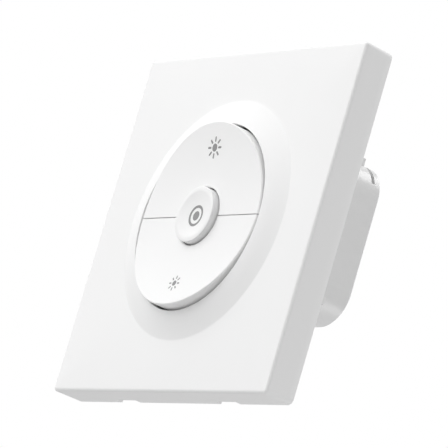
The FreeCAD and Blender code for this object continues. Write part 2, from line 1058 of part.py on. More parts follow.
def terminal_cages():
    """Brass cages, open upwards and downwards for the wire, tapped for the screw."""
    cages = []
    for x in pole_places():
        body = block(x, pole_z(), cage_width, cage_height, cage_span())
        opening_y = (wire_y() - cage_opening / 2, wire_y() + cage_opening / 2)
        opening = block(x, pole_z(), cage_width - 2 * cage_wall, cage_height + 2 * past, opening_y)
        cages.append(without(body, [opening, clamp_hole(x, clamp_r + thread_gap, wire_y())]))
    return Part.Compound(cages)


def terminal_screws():
    """Slotted headless clamp screws, drawn back so that the cages are open."""
    start = wire_y() + cage_opening / 2
    end = cage_span()[1] + clamp_stand
    screws = []
    for x in pole_places():
        slot_y = (end - screw_slot_depth, end + past)
        slot = block(x, pole_z(), 2 * (clamp_r + past), screw_slot, slot_y)
        screws.append(rod_y(clamp_r, (start, end), x, pole_z()).cut(slot))
    return Part.Compound(screws)


def fuse_body():
    """Square ceramic tube between the metal ends."""
    front = power_board_back + fuse_cap_wall
    height = fuse_length - 2 * fuse_cap
    return block(fuse_x, fuse_z, fuse_side, height, (front, front + fuse_side))


def fuse_caps():
    """Two square metal ends, a little wider than the tube between them."""
    y = (power_board_back, power_board_back + fuse_side + 2 * fuse_cap_wall)
    side = fuse_side + 2 * fuse_cap_wall
    offset = (fuse_length - fuse_cap) / 2
    return Part.Compound([block(fuse_x, fuse_z + i * offset, side, fuse_cap, y) for i in (-1, 1)])


def film_capacitor():
    y = (power_board_back, power_board_back + film_depth)
    return block(film_x, film_z, film_width, film_height, y)


def bulk_capacitor():
    return rod_y(bulk_r, (power_board_back, power_board_back + bulk_length), bulk_x, bulk_z)


def choke_core():
    """Ferrite core: a square leg between two square flanges."""
    front = power_board_back
    back = front + choke_length
    leg = block(choke_x, choke_z, choke_leg, choke_leg, (front, back))
    flanges = [(front, front + choke_flange), (back - choke_flange, back)]
    plates = [block(choke_x, choke_z, choke_side, choke_side, y) for y in flanges]
    return joined([leg] + plates)


def choke_winding():
    front = power_board_back + choke_flange + coil_gap
    back = power_board_back + choke_length - choke_flange - coil_gap
    inner = choke_leg + 2 * coil_gap
    outer = inner + 2 * choke_wire
    coil = cut_corners(block(choke_x, choke_z, outer, outer, (front, back)), choke_wire / 2)
    return coil.cut(block(choke_x, choke_z, inner, inner, (front, back)))


def trafo_windows():
    """Centres and width of the two windows beside the middle leg."""
    wide = (trafo_width - trafo_leg - 2 * trafo_yoke) / 2
    offset = trafo_leg / 2 + wide / 2
    return [trafo_x - offset, trafo_x + offset], wide


def transformer_core():
    y = (power_board_back, power_board_back + trafo_depth)
    core = block(trafo_x, trafo_z, trafo_width, trafo_core, y)
    centres, wide = trafo_windows()
    inside = (y[0] + trafo_yoke, y[1] - trafo_yoke)
    return without(core, [block(x, trafo_z, wide, trafo_core + 2 * past, inside) for x in centres])


def transformer_winding():
    """Coil round the middle leg, proud of the core above and below."""
    wide = trafo_windows()[1]
    front = power_board_back + trafo_yoke + coil_gap
    y = (front, power_board_back + trafo_depth - trafo_yoke - coil_gap)
    width = trafo_leg + 2 * wide - 2 * coil_gap
    coil = cut_corners(block(trafo_x, trafo_z, width, trafo_coil, y), wide / 2)
    return coil.cut(block(trafo_x, trafo_z, trafo_leg + 2 * coil_gap, trafo_core + 2 * coil_gap, y))


def varistor():
    """Dipped disc standing on its edge."""
    z = (varistor_z - varistor_thickness / 2, varistor_z + varistor_thickness / 2)
    return rod_z(varistor_r, z, varistor_x, power_board_back + varistor_r)


def transistor(x):
    """Moulded body with three leads, back against the heat sink."""
    z = sink_z + sink_thickness + transistor_height / 2
    front = power_board_back + transistor_lead
    body = block(x, z, transistor_width, transistor_height, (front, front + transistor_depth))
    leads = [block(x + i * lead_pitch, z, lead_width, lead_thickness, (power_board_back, front))
             for i in (-1, 0, 1)]
    return joined([body] + leads)


def power_transistors():
    return Part.Compound([transistor(transistor_x + i * transistor_pitch) for i in (0, 1)])


def heat_sink():
    """Aluminium plate with a foot on the board."""
    y = (power_board_back, power_board_back + sink_depth)
    plate = block(sink_x, sink_z + sink_thickness / 2, sink_width, sink_thickness, y)
    fin_y = (y[1] - sink_thickness, y[1])
    fin = block(sink_x, sink_z + sink_thickness * 1.5, sink_width - transistor_width,
                sink_thickness, fin_y)
    room = [transistor_box(i) for i in (0, 1)]
    return joined([plate, fin]).cut(Part.Compound(room))


def transistor_box(index):
    """Room that the heat sink leaves for one transistor."""
    x = transistor_x + index * transistor_pitch
    z = sink_z + sink_thickness + transistor_height / 2
    width = transistor_width + 2 * running_gap
    return block(x, z, width, transistor_height, (power_board_back, housing_inner_back))


def bridge_rectifier():
    y = (power_board_y - bridge_depth, power_board_y)
    return block(bridge_x, bridge_z, bridge_width, bridge_height, y)


def main():
    upper = upper_rocker()
    nodes = {
        "cover_plate": cover_plate(),
        "upper_rocker": upper,
        "lower_rocker": flipped_z(upper),
        "power_button": power_button(),
        "key_carrier": key_carrier(),
        "key_board": key_board(),
        "upper_switch_body": switch_body(push_z),
        "lower_switch_body": switch_body(-push_z),
        "power_switch_body": switch_body(0),
        "upper_switch_plunger": switch_plunger(push_z),
        "lower_switch_plunger": switch_plunger(-push_z),
        "power_switch_plunger": switch_plunger(0),
        "radio_board": radio_board(),
        "radio_shield": radio_shield(),
        "controller_chip": controller_chip(),
        "status_lamp": status_lamp(),
        "header_body": header_body(),
        "header_pins": header_pins(),
        "header_socket": header_socket(),
        "mounting_frame": mounting_frame(),
        "housing_screws": housing_screws(),
        "rear_housing": rear_housing(),
        "power_board": power_board(),
        "terminal_block": terminal_block(),
        "terminal_cages": terminal_cages(),
        "terminal_screws": terminal_screws(),
        "fuse_body": fuse_body(),
        "fuse_caps": fuse_caps(),
        "film_capacitor": film_capacitor(),
        "bulk_capacitor": bulk_capacitor(),
        "choke_core": choke_core(),
        "choke_winding": choke_winding(),
        "transformer_core": transformer_core(),
        "transformer_winding": transformer_winding(),
        "varistor": varistor(),
        "power_transistors": power_transistors(),
        "heat_sink": heat_sink(),
        "bridge_rectifier": bridge_rectifier(),
    }
    os.makedirs("parts", exist_ok=True)
    for name, shape in nodes.items():
        shape.exportStep(f"parts/{name}.step")
        print(name, len(shape.Solids), shape.isValid(), round(shape.Volume, 1))


main()
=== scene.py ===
"""Wall dimmer key: the looks of its pieces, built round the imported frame."""
import math

import bmesh
import bpy
from mathutils import Matrix, Vector


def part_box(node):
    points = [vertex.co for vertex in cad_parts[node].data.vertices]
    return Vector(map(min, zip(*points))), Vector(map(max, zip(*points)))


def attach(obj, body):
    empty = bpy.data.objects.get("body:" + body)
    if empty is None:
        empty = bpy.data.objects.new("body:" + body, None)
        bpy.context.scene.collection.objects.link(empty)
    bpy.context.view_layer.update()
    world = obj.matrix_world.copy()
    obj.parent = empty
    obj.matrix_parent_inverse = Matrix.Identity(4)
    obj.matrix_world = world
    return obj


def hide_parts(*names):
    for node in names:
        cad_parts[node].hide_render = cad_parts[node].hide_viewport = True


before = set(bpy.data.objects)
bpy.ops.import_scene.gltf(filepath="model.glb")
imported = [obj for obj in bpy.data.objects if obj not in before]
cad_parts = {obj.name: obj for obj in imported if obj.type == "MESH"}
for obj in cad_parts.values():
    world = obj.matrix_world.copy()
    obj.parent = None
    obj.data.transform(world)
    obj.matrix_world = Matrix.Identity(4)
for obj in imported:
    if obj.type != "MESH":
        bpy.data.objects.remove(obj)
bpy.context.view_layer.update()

bl_info = {
    "name": "Wall dimmer key",
    "version": (1, 0, 0),
    "blender": (4, 5, 0),
    "location": "View3D > Sidebar > Dimmer",
    "description": "Plate, keys, button, marks and finishes of a wall dimmer key",
    "category": "Object",
}

MM = 0.001

# Points in each ring of a piece, and steps in each of its bends.
PLATE_POINTS = 384
BUTTON_POINTS = 160
FLOOR_POINTS = 24
REAR_STEPS = 3
EDGE_STEPS = 10
DISH_STEPS = 24
RIM_STEPS = 10
RAY_STEPS = 8

# Degrees from which an edge stays sharp.
PLATE_SHARP = 30
BUTTON_SHARP = 35

# Scales of Blender's wave texture, coarser than real so that the weave and the turns show.
WEAVE_SCALE = 176.8384
WIRE_SCALE = 166.6667

# Rays of each printed sun, and how near two points of a mark are taken as one.
SUN_RAYS = 8
MARK_MERGE = 0.002 * MM

# The stage, in metres. The rings are shares of the floor's reach, and its glow is only seen,
# straight or in reflections.
FLOOR_LEVEL = -1.0
FLOOR_REACH = 4.0
FLOOR_RINGS = (0.005, 0.35, 1.0)
FLOOR_THICKNESS = 0.01
FLOOR_GLOW = 0.3
WORLD_STRENGTH = 0.595

# Name, place, target, side and watts of each square lamp, fitted to the light in the photo.
LAMPS = (
    ("key_lamp", (-0.844, -0.871, 1.043), (0, 0, 0), 1.8, 10.7),
    ("front_lamp", (-0.459, -1.311, 0.795), (0, 0, 0), 1.8, 11.8),
    ("rear_lamp", (0.15, 0.75, 0.72), (0, 0.01, 0), 0.6, 3.8),
    ("low_lamp", (0.45, 0.35, -0.70), (0, 0.01, 0), 0.5, 1.8),
)

# The camera, fitted to the plate's corners in the photo: metres, directions and millimetres.
CAMERA_PLACE = (0.839500, -0.568444, -0.235549)
CAMERA_FORWARD = (-0.80765204, 0.5440131, 0.22748171)
CAMERA_UP = (0.02284669, -0.35662473, 0.93396832)
CAMERA_LENS = 353.63
CAMERA_SENSOR = 36.0
CAMERA_RANGE = (0.01, 50.0)


def linear(text):
    """sRGB hex colour as linear red, green and blue."""
    values = [int(text[i:i + 2], 16) / 255 for i in (0, 2, 4)]
    return tuple(v / 12.92 if v <= 0.04045 else ((v + 0.055) / 1.055) ** 2.4 for v in values)


def rgba(colour):
    return (*colour, 1.0)


def length(name, description, default):
    return bpy.props.FloatProperty(
        name=name, description=description, default=default * MM, min=0.0, unit="LENGTH",
        precision=5)


def colour(name, description, default):
    return bpy.props.FloatVectorProperty(
        name=name, description=description, default=linear(default), size=3,
        min=0.0, max=1.0, subtype="COLOR")


class DimmerPlate(bpy.types.PropertyGroup):
    """Sizes of the cover plate."""
    edge_round: length("Front edge", "Radius of the edge between front and skirt", 0.8)
    corner_front: length("Front corner", "Corner radius at the front", 0.9)
    corner_back: length("Rear corner", "Corner radius at the wall", 1.5)
    flare: length("Flare", "How much each side widens towards the wall", 0.02)
    wall: length("Wall", "Thickness of the skirt and front", 1.8)
    inner_half: length("Inside", "Half the width of the room inside the skirt", 40.925)
    inner_corner: length("Inside corner", "Corner radius of the room inside the skirt", 0.3)
    least_corner: length("Least corner", "Smallest corner radius on the front edge", 0.12)
    collar_base: length("Collar base", "Radius where the collar starts to rise", 30.2)
    collar_rise: length("Collar rise", "Height of the collar's rim over the front", 2.3)
    collar_blend: length(
        "Collar blend", "Half the width of the soft bend at the foot of the collar", 0.25)
    key_hole: length("Key hole", "Radius of the hole for the keys", 23.62)
    rim_break: length("Rim", "Size of the broken edge round the key hole", 0.12)
    hole_back: length("Hole back", "How much the hole widens at the back", 1.35)
    notch_width: length("Notch width", "Width of each pry notch", 7.7)
    notch_depth: length("Notch depth", "Depth of each pry notch from the wall", 1.7)
    notch_left: length("Left notch", "Distance of one pry notch left of the middle", 20.6)
    notch_right: length("Right notch", "Distance of the other notch right of the middle", 19.5)
    rear_round: length("Rear edge", "Radius of the outer edge at the wall", 0.15)


class DimmerButton(bpy.types.PropertyGroup):
    """Sizes of the power button."""
    rim_round: length("Rim", "Radius of the soft outer edge", 0.2)
    dish: length("Dish", "Depth of the dish under the land round it", 0.6)
    land: length("Land", "Radius where the narrow flat land starts", 6.1)
    land_round: length("Land edge", "Radius of the soft bend between dish and land", 2.0)
    skirt: length("Skirt", "Thickness of the skirt", 1.2)
    face: length("Face", "Thickness of the face", 1.5)
    skirt_end: length("Skirt end", "Distance of the skirt's end from the wall", 6.7)
    end_break: length("Skirt edge", "Size of the broken edge at the skirt's end", 0.1)


class DimmerMarks(bpy.types.PropertyGroup):
    """Sizes of the printed marks."""
    thickness: length("Ink", "Thickness of the printed ink", 0.02)
    ring_radius: length("Ring", "Outer radius of the ring on the button", 2.67)
    ring_stroke: length("Ring stroke", "Width of the ring's line", 0.65)
    ring_dot: length("Ring dot", "Radius of the dot inside the ring", 1.19)
    aside: length("Aside", "How far the marks sit to the right of the middle", 0.35)
    ring_drop: length("Ring drop", "How far the ring sits under the middle of the button", 0.3)
    upper_height: length("Upper sun height", "Distance of the upper sun from the middle", 16.8)
    lower_height: length("Lower sun height", "Distance of the lower sun from the middle", 17.35)
    upper_dot: length("Upper dot", "Radius of the upper sun's dot", 0.95)
    upper_reach: length("Upper reach", "Outer radius of the upper sun's rays", 2.65)
    upper_stroke: length("Upper stroke", "Width of the upper sun's rays", 0.5)
    lower_dot: length("Lower dot", "Radius of the lower sun's dot", 0.7)
    lower_reach: length("Lower reach", "Outer radius of the lower sun's rays", 2.0)
    lower_stroke: length("Lower stroke", "Width of the lower sun's rays", 0.36)
    ray_gap: length("Ray gap", "Gap between a sun's dot and its rays", 0.4)
    face_curve: length("Key face", "Radius of the keys' concave face", 101.0)


class DimmerColours(bpy.types.PropertyGroup):
    """Colours of the finishes."""
    plate: colour("Plate", "Moulded cover plate", "F2F2F2")
    keys: colour("Keys", "Moulded rocker keys", "F3F3F3")
    button: colour("Button", "Moulded power button", "EEEEEE")
    ink: colour("Ink", "Printed marks", "8C8C8C")
    housing: colour("Housing", "Rear housing and frame", "E4E4E4")
    carrier: colour("Carrier", "Key carrier behind the keys", "9A9B9D")
    board: colour("Board", "Solder mask of the circuit boards", "1F5B36")
    block: colour("Block", "Terminal block", "5F6264")
    floor: colour("Floor", "Studio floor as it is seen", "F4F4F4")
    floor_bounce: colour("Floor bounce", "Studio floor as it lights the part from below", "BDBDBD")


def add_node(tree, kind, inputs=None, **settings):
    """A shader node; an input given as a socket is linked, and any other is set."""
    node = tree.nodes.new(kind)
    for key, value in settings.items():
        setattr(node, key, value)
    for key, value in (inputs or {}).items():
        if isinstance(value, bpy.types.NodeSocket):
            tree.links.new(value, node.inputs[key])
        else:
            node.inputs[key].default_value = value
    return node


def new_material(name):
    material = bpy.data.materials.new(name)
    material.use_nodes = True
    tree = material.node_tree
    tree.nodes.clear()
    place = add_node(tree, "ShaderNodeTexCoord")
    return material, tree, place.outputs["Object"]


def finish_surface(tree, inputs, bump_height=None, bump_mm=0.0):
    """Principled surface with an optional bump, joined to the output."""
    if bump_height is not None:
        bump = add_node(tree, "ShaderNodeBump", {"Distance": bump_mm * MM, "Height": bump_height})
        inputs = dict(inputs, Normal=bump.outputs["Normal"])
    shader = add_node(tree, "ShaderNodeBsdfPrincipled", inputs)
    add_node(tree, "ShaderNodeOutputMaterial", {"Surface": shader.outputs["BSDF"]})


def grain(tree, place, size_mm, detail=2.0, roughness=0.5):
    """Noise whose blobs are about size_mm across."""
    return add_node(tree, "ShaderNodeTexNoise", {
        "Vector": place, "Scale": 1 / (size_mm * MM), "Detail": detail, "Roughness": roughness,
    }).outputs["Fac"]


def bands(tree, place, scale, direction, distortion):
    """Waves side by side, 0 in their dips and 1 on their crests."""
    return add_node(tree, "ShaderNodeTexWave", {
        "Vector": place, "Scale": scale, "Distortion": distortion, "Detail": 1.0,
    }, wave_type="BANDS", bands_direction=direction).outputs["Fac"]


def between(tree, factor, low, high):
    """Factor from 0 to 1 turned into a value from low to high."""
    return add_node(tree, "ShaderNodeMapRange", {
        "Value": factor, "To Min": low, "To Max": high}).outputs["Result"]


def tint(tree, factor, first, second):
    """Colour between two linear colours."""
    mix = add_node(tree, "ShaderNodeMix", data_type="RGBA")
    tree.links.new(factor, mix.inputs["Factor"])
    mix.inputs["A"].default_value = rgba(first)
    mix.inputs["B"].default_value = rgba(second)
    return mix.outputs["Result"]


def shaded(colour_value, share):
    """Colour that throws back only a share of its light."""
    return tuple(v * share for v in colour_value)


def moulded_polycarbonate(name, colour_value, roughness=0.7, spark_mm=0.35, depth_mm=0.006):
    # Injection moulded and spark-textured: an even soft sheen with a very fine grain,
    # drawn a little coarser than real so that it shows, and a faint cloudiness from the melt.
    material, tree, place = new_material(name)
    spark = grain(tree, place, spark_mm, 3.0)
    cloud = grain(tree, place, 14.0, 1.0)
    finish_surface(tree, {
        "Base Color": tint(tree, cloud, shaded(colour_value, 0.985), colour_value),
        "Roughness": between(tree, spark, roughness - 0.05, roughness + 0.05),
        "IOR": 1.58,
    }, spark, depth_mm)
    return material


def printed_ink(name, colour_value):
    # Pad-printed ink: a flat grey with slightly uneven cover and a duller sheen than the key.
    material, tree, place = new_material(name)
    cover = grain(tree, place, 0.4, 2.0)
    finish_surface(tree, {
        "Base Color": tint(tree, cover, shaded(colour_value, 0.93), colour_value),
        "Roughness": between(tree, cover, 0.5, 0.62),
        "IOR": 1.5,
    }, cover, 0.004)
    return material


def moulded_abs(name, colour_value, roughness=0.5, spark_mm=0.6, depth_mm=0.012):
    # Plain moulded ABS of inner and rear parts: a coarser spark texture and a dull sheen.
    material, tree, place = new_material(name)
    spark = grain(tree, place, spark_mm, 4.0, 0.6)
    cloud = grain(tree, place, 9.0, 1.0)
    finish_surface(tree, {
        "Base Color": tint(tree, cloud, shaded(colour_value, 0.97), colour_value),
        "Roughness": between(tree, spark, roughness - 0.06, roughness + 0.08),
        "IOR": 1.54,
    }, spark, depth_mm)
    return material


def glass_fibre_board(name, colour_value):
    # Glass fibre laminate under green solder mask: the weave shows faintly through the gloss.
    material, tree, place = new_material(name)
    weave = bands(tree, place, WEAVE_SCALE, "DIAGONAL", 0.6)
    finish_surface(tree, {
        "Base Color": tint(tree, weave, shaded(colour_value, 0.75), colour_value),
        "Roughness": between(tree, weave, 0.24, 0.34),
        "IOR": 1.5,
    }, weave, 0.006)
    return material


def rolled_metal(name, colour_value, roughness, line_mm=0.12, depth_mm=0.003):
    # Rolled or plated sheet: fine drawn lines along X that stretch the highlights.
    material, tree, place = new_material(name)
    drawn = add_node(tree, "ShaderNodeMapping", {"Vector": place, "Scale": (0.06, 1.0, 1.0)})
    lines = grain(tree, drawn.outputs["Vector"], line_mm, 3.0, 0.6)
    finish_surface(tree, {
        "Base Color": tint(tree, lines, shaded(colour_value, 0.88), colour_value),
        "Metallic": 1.0,
        "Roughness": between(tree, lines, roughness - 0.06, roughness + 0.08),
    }, lines, depth_mm)
    return material


def wound_wire(name, colour_value):
    # Enamelled copper wire: thick round turns side by side, with painted highlights on their
    # crests.
    material, tree, place = new_material(name)
    turns = bands(tree, place, WIRE_SCALE, "Y", 0.3)
    finish_surface(tree, {
        # Painted shade: the colour darkens to 0.45 of itself in the grooves between the turns.
        "Base Color": tint(tree, turns, shaded(colour_value, 0.45), colour_value),
        "Metallic": 0.85,
        "Roughness": between(tree, turns, 0.42, 0.26),
    }, turns, 0.08)
    return material


def sintered_ferrite(name, colour_value):
    # Pressed and sintered ferrite: dark, dull and slightly pitted, with painted shade in the pits.
    material, tree, place = new_material(name)
    pits = grain(tree, place, 0.25, 4.0, 0.7)
    finish_surface(tree, {
        "Base Color": tint(tree, pits, shaded(colour_value, 0.7), colour_value),
        "Roughness": between(tree, pits, 0.55, 0.8),
        "IOR": 1.6,
    }, pits, 0.02)
    return material


def dipped_epoxy(name, colour_value):
    # Dipped epoxy: a glossy coat with the soft waves it sets in.
    material, tree, place = new_material(name)
    waves = grain(tree, place, 2.5, 1.0)
    finish_surface(tree, {
        "Base Color": tint(tree, waves, shaded(colour_value, 0.85), colour_value),
        "Roughness": between(tree, waves, 0.16, 0.28),
        "IOR": 1.55,
        "Coat Weight": 0.4,
        "Coat Roughness": 0.12,
    }, waves, 0.05)
    return material


def add_object(name, data):
    obj = bpy.data.objects.new(name, data)
    bpy.context.scene.collection.objects.link(obj)
    return obj


def mesh_object(name, verts, faces):
    mesh = bpy.data.meshes.new(name)
    mesh.from_pydata(verts, [], faces)
    mesh.validate()
    return add_object(name, mesh)


def outward(obj):
    """Turns every face's normal outwards."""
    bm = bmesh.new()
    bm.from_mesh(obj.data)
    bmesh.ops.recalc_face_normals(bm, faces=bm.faces)
    bm.to_mesh(obj.data)
    bm.free()


def smooth_by_angle(obj, degrees):
    """Smooth shading, with an edge kept sharp where it turns by more than an angle."""
    for face in obj.data.polygons:
        face.use_smooth = True
    bm = bmesh.new()
    bm.from_mesh(obj.data)
    limit = math.radians(degrees)
    for edge in bm.edges:
        edge.smooth = len(edge.link_faces) == 2 and edge.calc_face_angle(0.0) < limit
    bm.to_mesh(obj.data)
    bm.free()


def skin(name, rings, closed_tube):
    """Mesh through rings of equally many points, joined end to end if it is a closed tube."""
    count = len(rings[0])
    verts = [point for ring in rings for point in ring]
    faces = []
    last = len(rings) if closed_tube else len(rings) - 1
    for i in range(last):
        here = i * count
        there = (i + 1) % len(rings) * count
        for j in range(count):
            k = (j + 1) % count
            faces.append((here + j, here + k, there + k, there + j))
    if not closed_tube:
        faces.append(tuple(range(count)))
        faces.append(tuple(range(len(verts) - count, len(verts))))
    obj = mesh_object(name, verts, faces)
    outward(obj)
    return obj


def circle_ring(radius, y, count):
    """Ring of points round the Y axis, the first one at the middle of the right side."""
    turns = [2 * math.pi * i / count for i in range(count)]
    return [(radius * math.cos(t), y, radius * math.sin(t)) for t in turns]


def square_ring(half, corner, y, count):
    """Rounded square: a quarter of the points per side, and a quarter of those on its corner."""
    bend = count // 16
    straight = count // 4 - bend
    rising = straight // 2
    crossing = straight - rising
    points = []
    for quarter in range(4):
        turn = Matrix.Rotation(-quarter * math.pi / 2, 3, "Y")
        flat = half - corner
        side = []
        for i in range(rising):
            side.append((half, flat * i / rising))
        for i in range(bend):
            angle = math.pi / 2 * i / bend
            side.append((flat + corner * math.cos(angle), flat + corner * math.sin(angle)))
        for i in range(crossing):
            side.append((flat * (1 - i / crossing), half))
        points += [tuple(turn @ Vector((x, y, z))) for x, z in side]
    return points


def arc_steps(count):
    """Angles of a quarter turn in equal steps, both ends among them."""
    return [math.pi / 2 * i / count for i in range(count + 1)]


def plate_rings(sizes, count):
    """Rings from the wall, over the front and collar, and back along the inside."""
    low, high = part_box("cover_plate")
    half_back = high[0]
    rim = low[1]
    front = rim + sizes.collar_rise

    def half_at(y):
        return half_back + sizes.flare * y / -front

    def corner_at(y):
        return sizes.corner_back + (sizes.corner_front - sizes.corner_back) * y / front

    rings = []
    soft = sizes.rear_round
    for turn in arc_steps(REAR_STEPS):
        inset = soft * (1 - math.sin(turn))
        y = -soft * (1 - math.cos(turn))
        rings.append(square_ring(half_at(y) - inset, corner_at(y) - inset, y, count))
    for share in (0.25, 0.5, 0.75):
        y = (front + sizes.edge_round) * share
        rings.append(square_ring(half_at(y), corner_at(y), y, count))
    r = sizes.edge_round
    for turn in arc_steps(EDGE_STEPS):
        y = front + r * (1 - math.sin(turn))
        inset = r * (1 - math.cos(turn))
        corner = max(corner_at(y) - inset, sizes.least_corner)
        rings.append(square_ring(half_at(y) - inset, corner, y, count))
    slope = sizes.collar_rise / (sizes.collar_base - sizes.key_hole)
    blend = sizes.collar_blend
    rings.append(circle_ring(sizes.collar_base + blend * 3, front, count))
    for share in (-1, -0.6, -0.2, 0.2, 0.6, 1):
        run = blend * (share + 1) / 2
        radius = sizes.collar_base - blend * share
        rings.append(circle_ring(radius, front - slope * run * run / blend, count))
    halfway = (sizes.collar_base + sizes.key_hole) / 2
    rings.append(circle_ring(halfway, front - sizes.collar_rise / 2, count))
    top = sizes.rim_break
    rings.append(circle_ring(sizes.key_hole + top, rim + slope * top, count))
    bend = rim + slope * top * 0.3 + 0.25 * top
    rings.append(circle_ring(sizes.key_hole + 0.3 * top, bend, count))
    rings.append(circle_ring(sizes.key_hole, rim + top, count))
    inner = front + sizes.wall
    rings.append(circle_ring(sizes.key_hole, inner - sizes.hole_back, count))
    rings.append(circle_ring(sizes.key_hole + sizes.hole_back, inner, count))
    rings.append(square_ring(sizes.inner_half, sizes.inner_corner, inner, count))
    rings.append(square_ring(sizes.inner_half, sizes.inner_corner, 0, count))
    return rings


def cut_boxes(obj, boxes):
    """Cuts boxes, given as (low corner, high corner), out of a mesh."""
    bm = bmesh.new()
    for low, high in boxes:
        size = Vector(high) - Vector(low)
        place = Matrix.Translation((Vector(high) + Vector(low)) / 2) @ Matrix.Diagonal((*size, 1))
        bmesh.ops.create_cube(bm, size=1, matrix=place)
    cutter_mesh = bpy.data.meshes.new("cutter")
    bm.to_mesh(cutter_mesh)
    bm.free()
    cutter = add_object("cutter", cutter_mesh)
    cut = obj.modifiers.new("cut", "BOOLEAN")
    cut.object = cutter
    cut.solver = "EXACT"
    bpy.context.view_layer.update()
    graph = bpy.context.evaluated_depsgraph_get()
    result = bpy.data.meshes.new_from_object(obj.evaluated_get(graph))
    obj.modifiers.clear()
    obj.data = result
    bpy.data.objects.remove(cutter)


def give(obj, material):
    """One finish on a new piece."""
    obj.data.materials.clear()
    obj.data.materials.append(material)


def dress(nodes, material):
    """One finish on carried-over pieces."""
    for name in nodes:
        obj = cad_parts[name]
        for slot in obj.material_slots:
            slot.material = material


class DIMMER_OT_cover_plate(bpy.types.Operator):
    """Builds the cover plate with its soft edges, raised collar and pry notches"""
    bl_idname = "dimmer.cover_plate"
    bl_label = "Cover plate"

    def execute(self, context):
        sizes = context.scene.dimmer_plate
        plate = skin("cover_plate_moulding", plate_rings(sizes, PLATE_POINTS), True)
        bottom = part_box("cover_plate")[0][2]
        half = sizes.notch_width / 2
        notches = [
            ((x - half, -sizes.notch_depth, bottom - MM), (x + half, MM, bottom + sizes.wall + MM))
            for x in (-sizes.notch_left, sizes.notch_right)]
        cut_boxes(plate, notches)
        smooth_by_angle(plate, PLATE_SHARP)
        give(plate, moulded_polycarbonate(
            "moulded_polycarbonate_plate", context.scene.dimmer_colours.plate))
        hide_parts("cover_plate")
        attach(plate, "base")
        return {"FINISHED"}


class DIMMER_OT_rocker_keys(bpy.types.Operator):
    """Gives the two rocker keys their finish"""
    bl_idname = "dimmer.rocker_keys"
    bl_label = "Rocker keys"

    def execute(self, context):
        dress(["upper_rocker", "lower_rocker"], moulded_polycarbonate(
            "moulded_polycarbonate_keys", context.scene.dimmer_colours.keys, 0.65))
        return {"FINISHED"}


class DIMMER_OT_power_button(bpy.types.Operator):
    """Builds the dished power button with its soft rim"""
    bl_idname = "dimmer.power_button"
    bl_label = "Power button"

    def execute(self, context):
        rings = button_rings(context.scene.dimmer_button, BUTTON_POINTS)
        button = skin("power_button_cap", rings, False)
        smooth_by_angle(button, BUTTON_SHARP)
        give(button, moulded_polycarbonate(
            "moulded_polycarbonate_button", context.scene.dimmer_colours.button, 0.5))
        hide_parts("power_button")
        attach(button, "power_key")
        return {"FINISHED"}


def dish_radius(sizes):
    """Radius of the sphere that the dish is part of, which meets the land in a soft bend."""
    lift = sizes.land_round - sizes.dish
    return (sizes.land ** 2 + lift ** 2 - sizes.land_round ** 2) / (2 * sizes.dish)


def button_outline(sizes):
    """Points (radius, y) from the middle of the dish, over the land and down the skirt."""
    low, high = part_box("power_button")
    outer = high[0]
    crest = low[1]
    middle = crest + sizes.dish
    sphere = dish_radius(sizes)
    meet = math.asin(sizes.land / (sphere + sizes.land_round))
    points = []
    for i in range(1, DISH_STEPS + 1):
        turn = meet * i / DISH_STEPS
        points.append((sphere * math.sin(turn), middle - sphere * (1 - math.cos(turn))))
    for centre, bend, first, last in (
            (sizes.land, sizes.land_round, -meet, 0.0),
            (outer - sizes.rim_round, sizes.rim_round, 0.0, math.pi / 2)):
        for i in range(1, RIM_STEPS + 1):
            turn = first + (last - first) * i / RIM_STEPS
            points.append((centre + bend * math.sin(turn), crest + bend * (1 - math.cos(turn))))
    end = -sizes.skirt_end
    bore = outer - sizes.skirt
    points += [(outer, end - sizes.end_break), (outer - sizes.end_break, end)]
    return points + [(bore, end), (bore, middle + sizes.face)]


def button_rings(sizes, count):
    points = button_outline(sizes)
    return [circle_ring(r, y, count) for r, y in points]


def key_face(curve):
    """Function of (x, z) that gives the level of the keys' concave face."""
    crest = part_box("cover_plate")[0][1]
    return lambda x, z: crest - curve + math.sqrt(curve ** 2 - z ** 2)


def button_face(sizes):
    """Function of (x, z) that gives the level of the button's dished face."""
    sphere = dish_radius(sizes)
    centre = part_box("power_button")[0][1] + sizes.dish - sphere
    return lambda x, z: centre + math.sqrt(sphere ** 2 - x ** 2 - z ** 2)


def disc_cells(cx, cz, inner, outer, rounds=5, around=64):
    """Quads and triangles of a disc or ring, as lists of (x, z) corners."""
    cells = []
    for i in range(rounds):
        near = inner + (outer - inner) * i / rounds
        far = inner + (outer - inner) * (i + 1) / rounds
        for j in range(around):
            a = 2 * math.pi * j / around
            b = 2 * math.pi * (j + 1) / around
            corners = [(far, a), (far, b)] + ([(near, b), (near, a)] if near > 0 else [(0.0, 0.0)])
            cells.append([(cx + r * math.cos(t), cz + r * math.sin(t)) for r, t in corners])
    return cells


def ray_cells(cx, cz, start, end, width, turn):
    """One ray with round ends, as a single cell."""
    half = width / 2
    along = Vector((math.cos(turn), math.sin(turn)))
    side = Vector((-along.y, along.x))
    middle = Vector((cx, cz))
    outline = []
    for centre, first in ((end - half, -math.pi / 2), (start + half, math.pi / 2)):
        for i in range(RAY_STEPS + 1):
            angle = first + math.pi * i / RAY_STEPS
            reach = centre + half * math.cos(angle)
            outline.append(middle + along * reach + side * half * math.sin(angle))
    return [[tuple(p) for p in outline]]


def print_mark(name, cells, level, thickness):
    """Thin layer of ink on a face whose level is given by a function of (x, z)."""
    bm = bmesh.new()
    for cell in cells:
        verts = [bm.verts.new((x, level(x, z) - thickness, z)) for x, z in cell]
        bm.faces.new(verts)
    bmesh.ops.remove_doubles(bm, verts=bm.verts, dist=MARK_MERGE)
    bmesh.ops.recalc_face_normals(bm, faces=bm.faces)
    for face in bm.faces:
        if face.normal.y > 0:
            face.normal_flip()
        face.smooth = True
    mesh = bpy.data.meshes.new(name)
    bm.to_mesh(mesh)
    bm.free()
    return add_object(name, mesh)


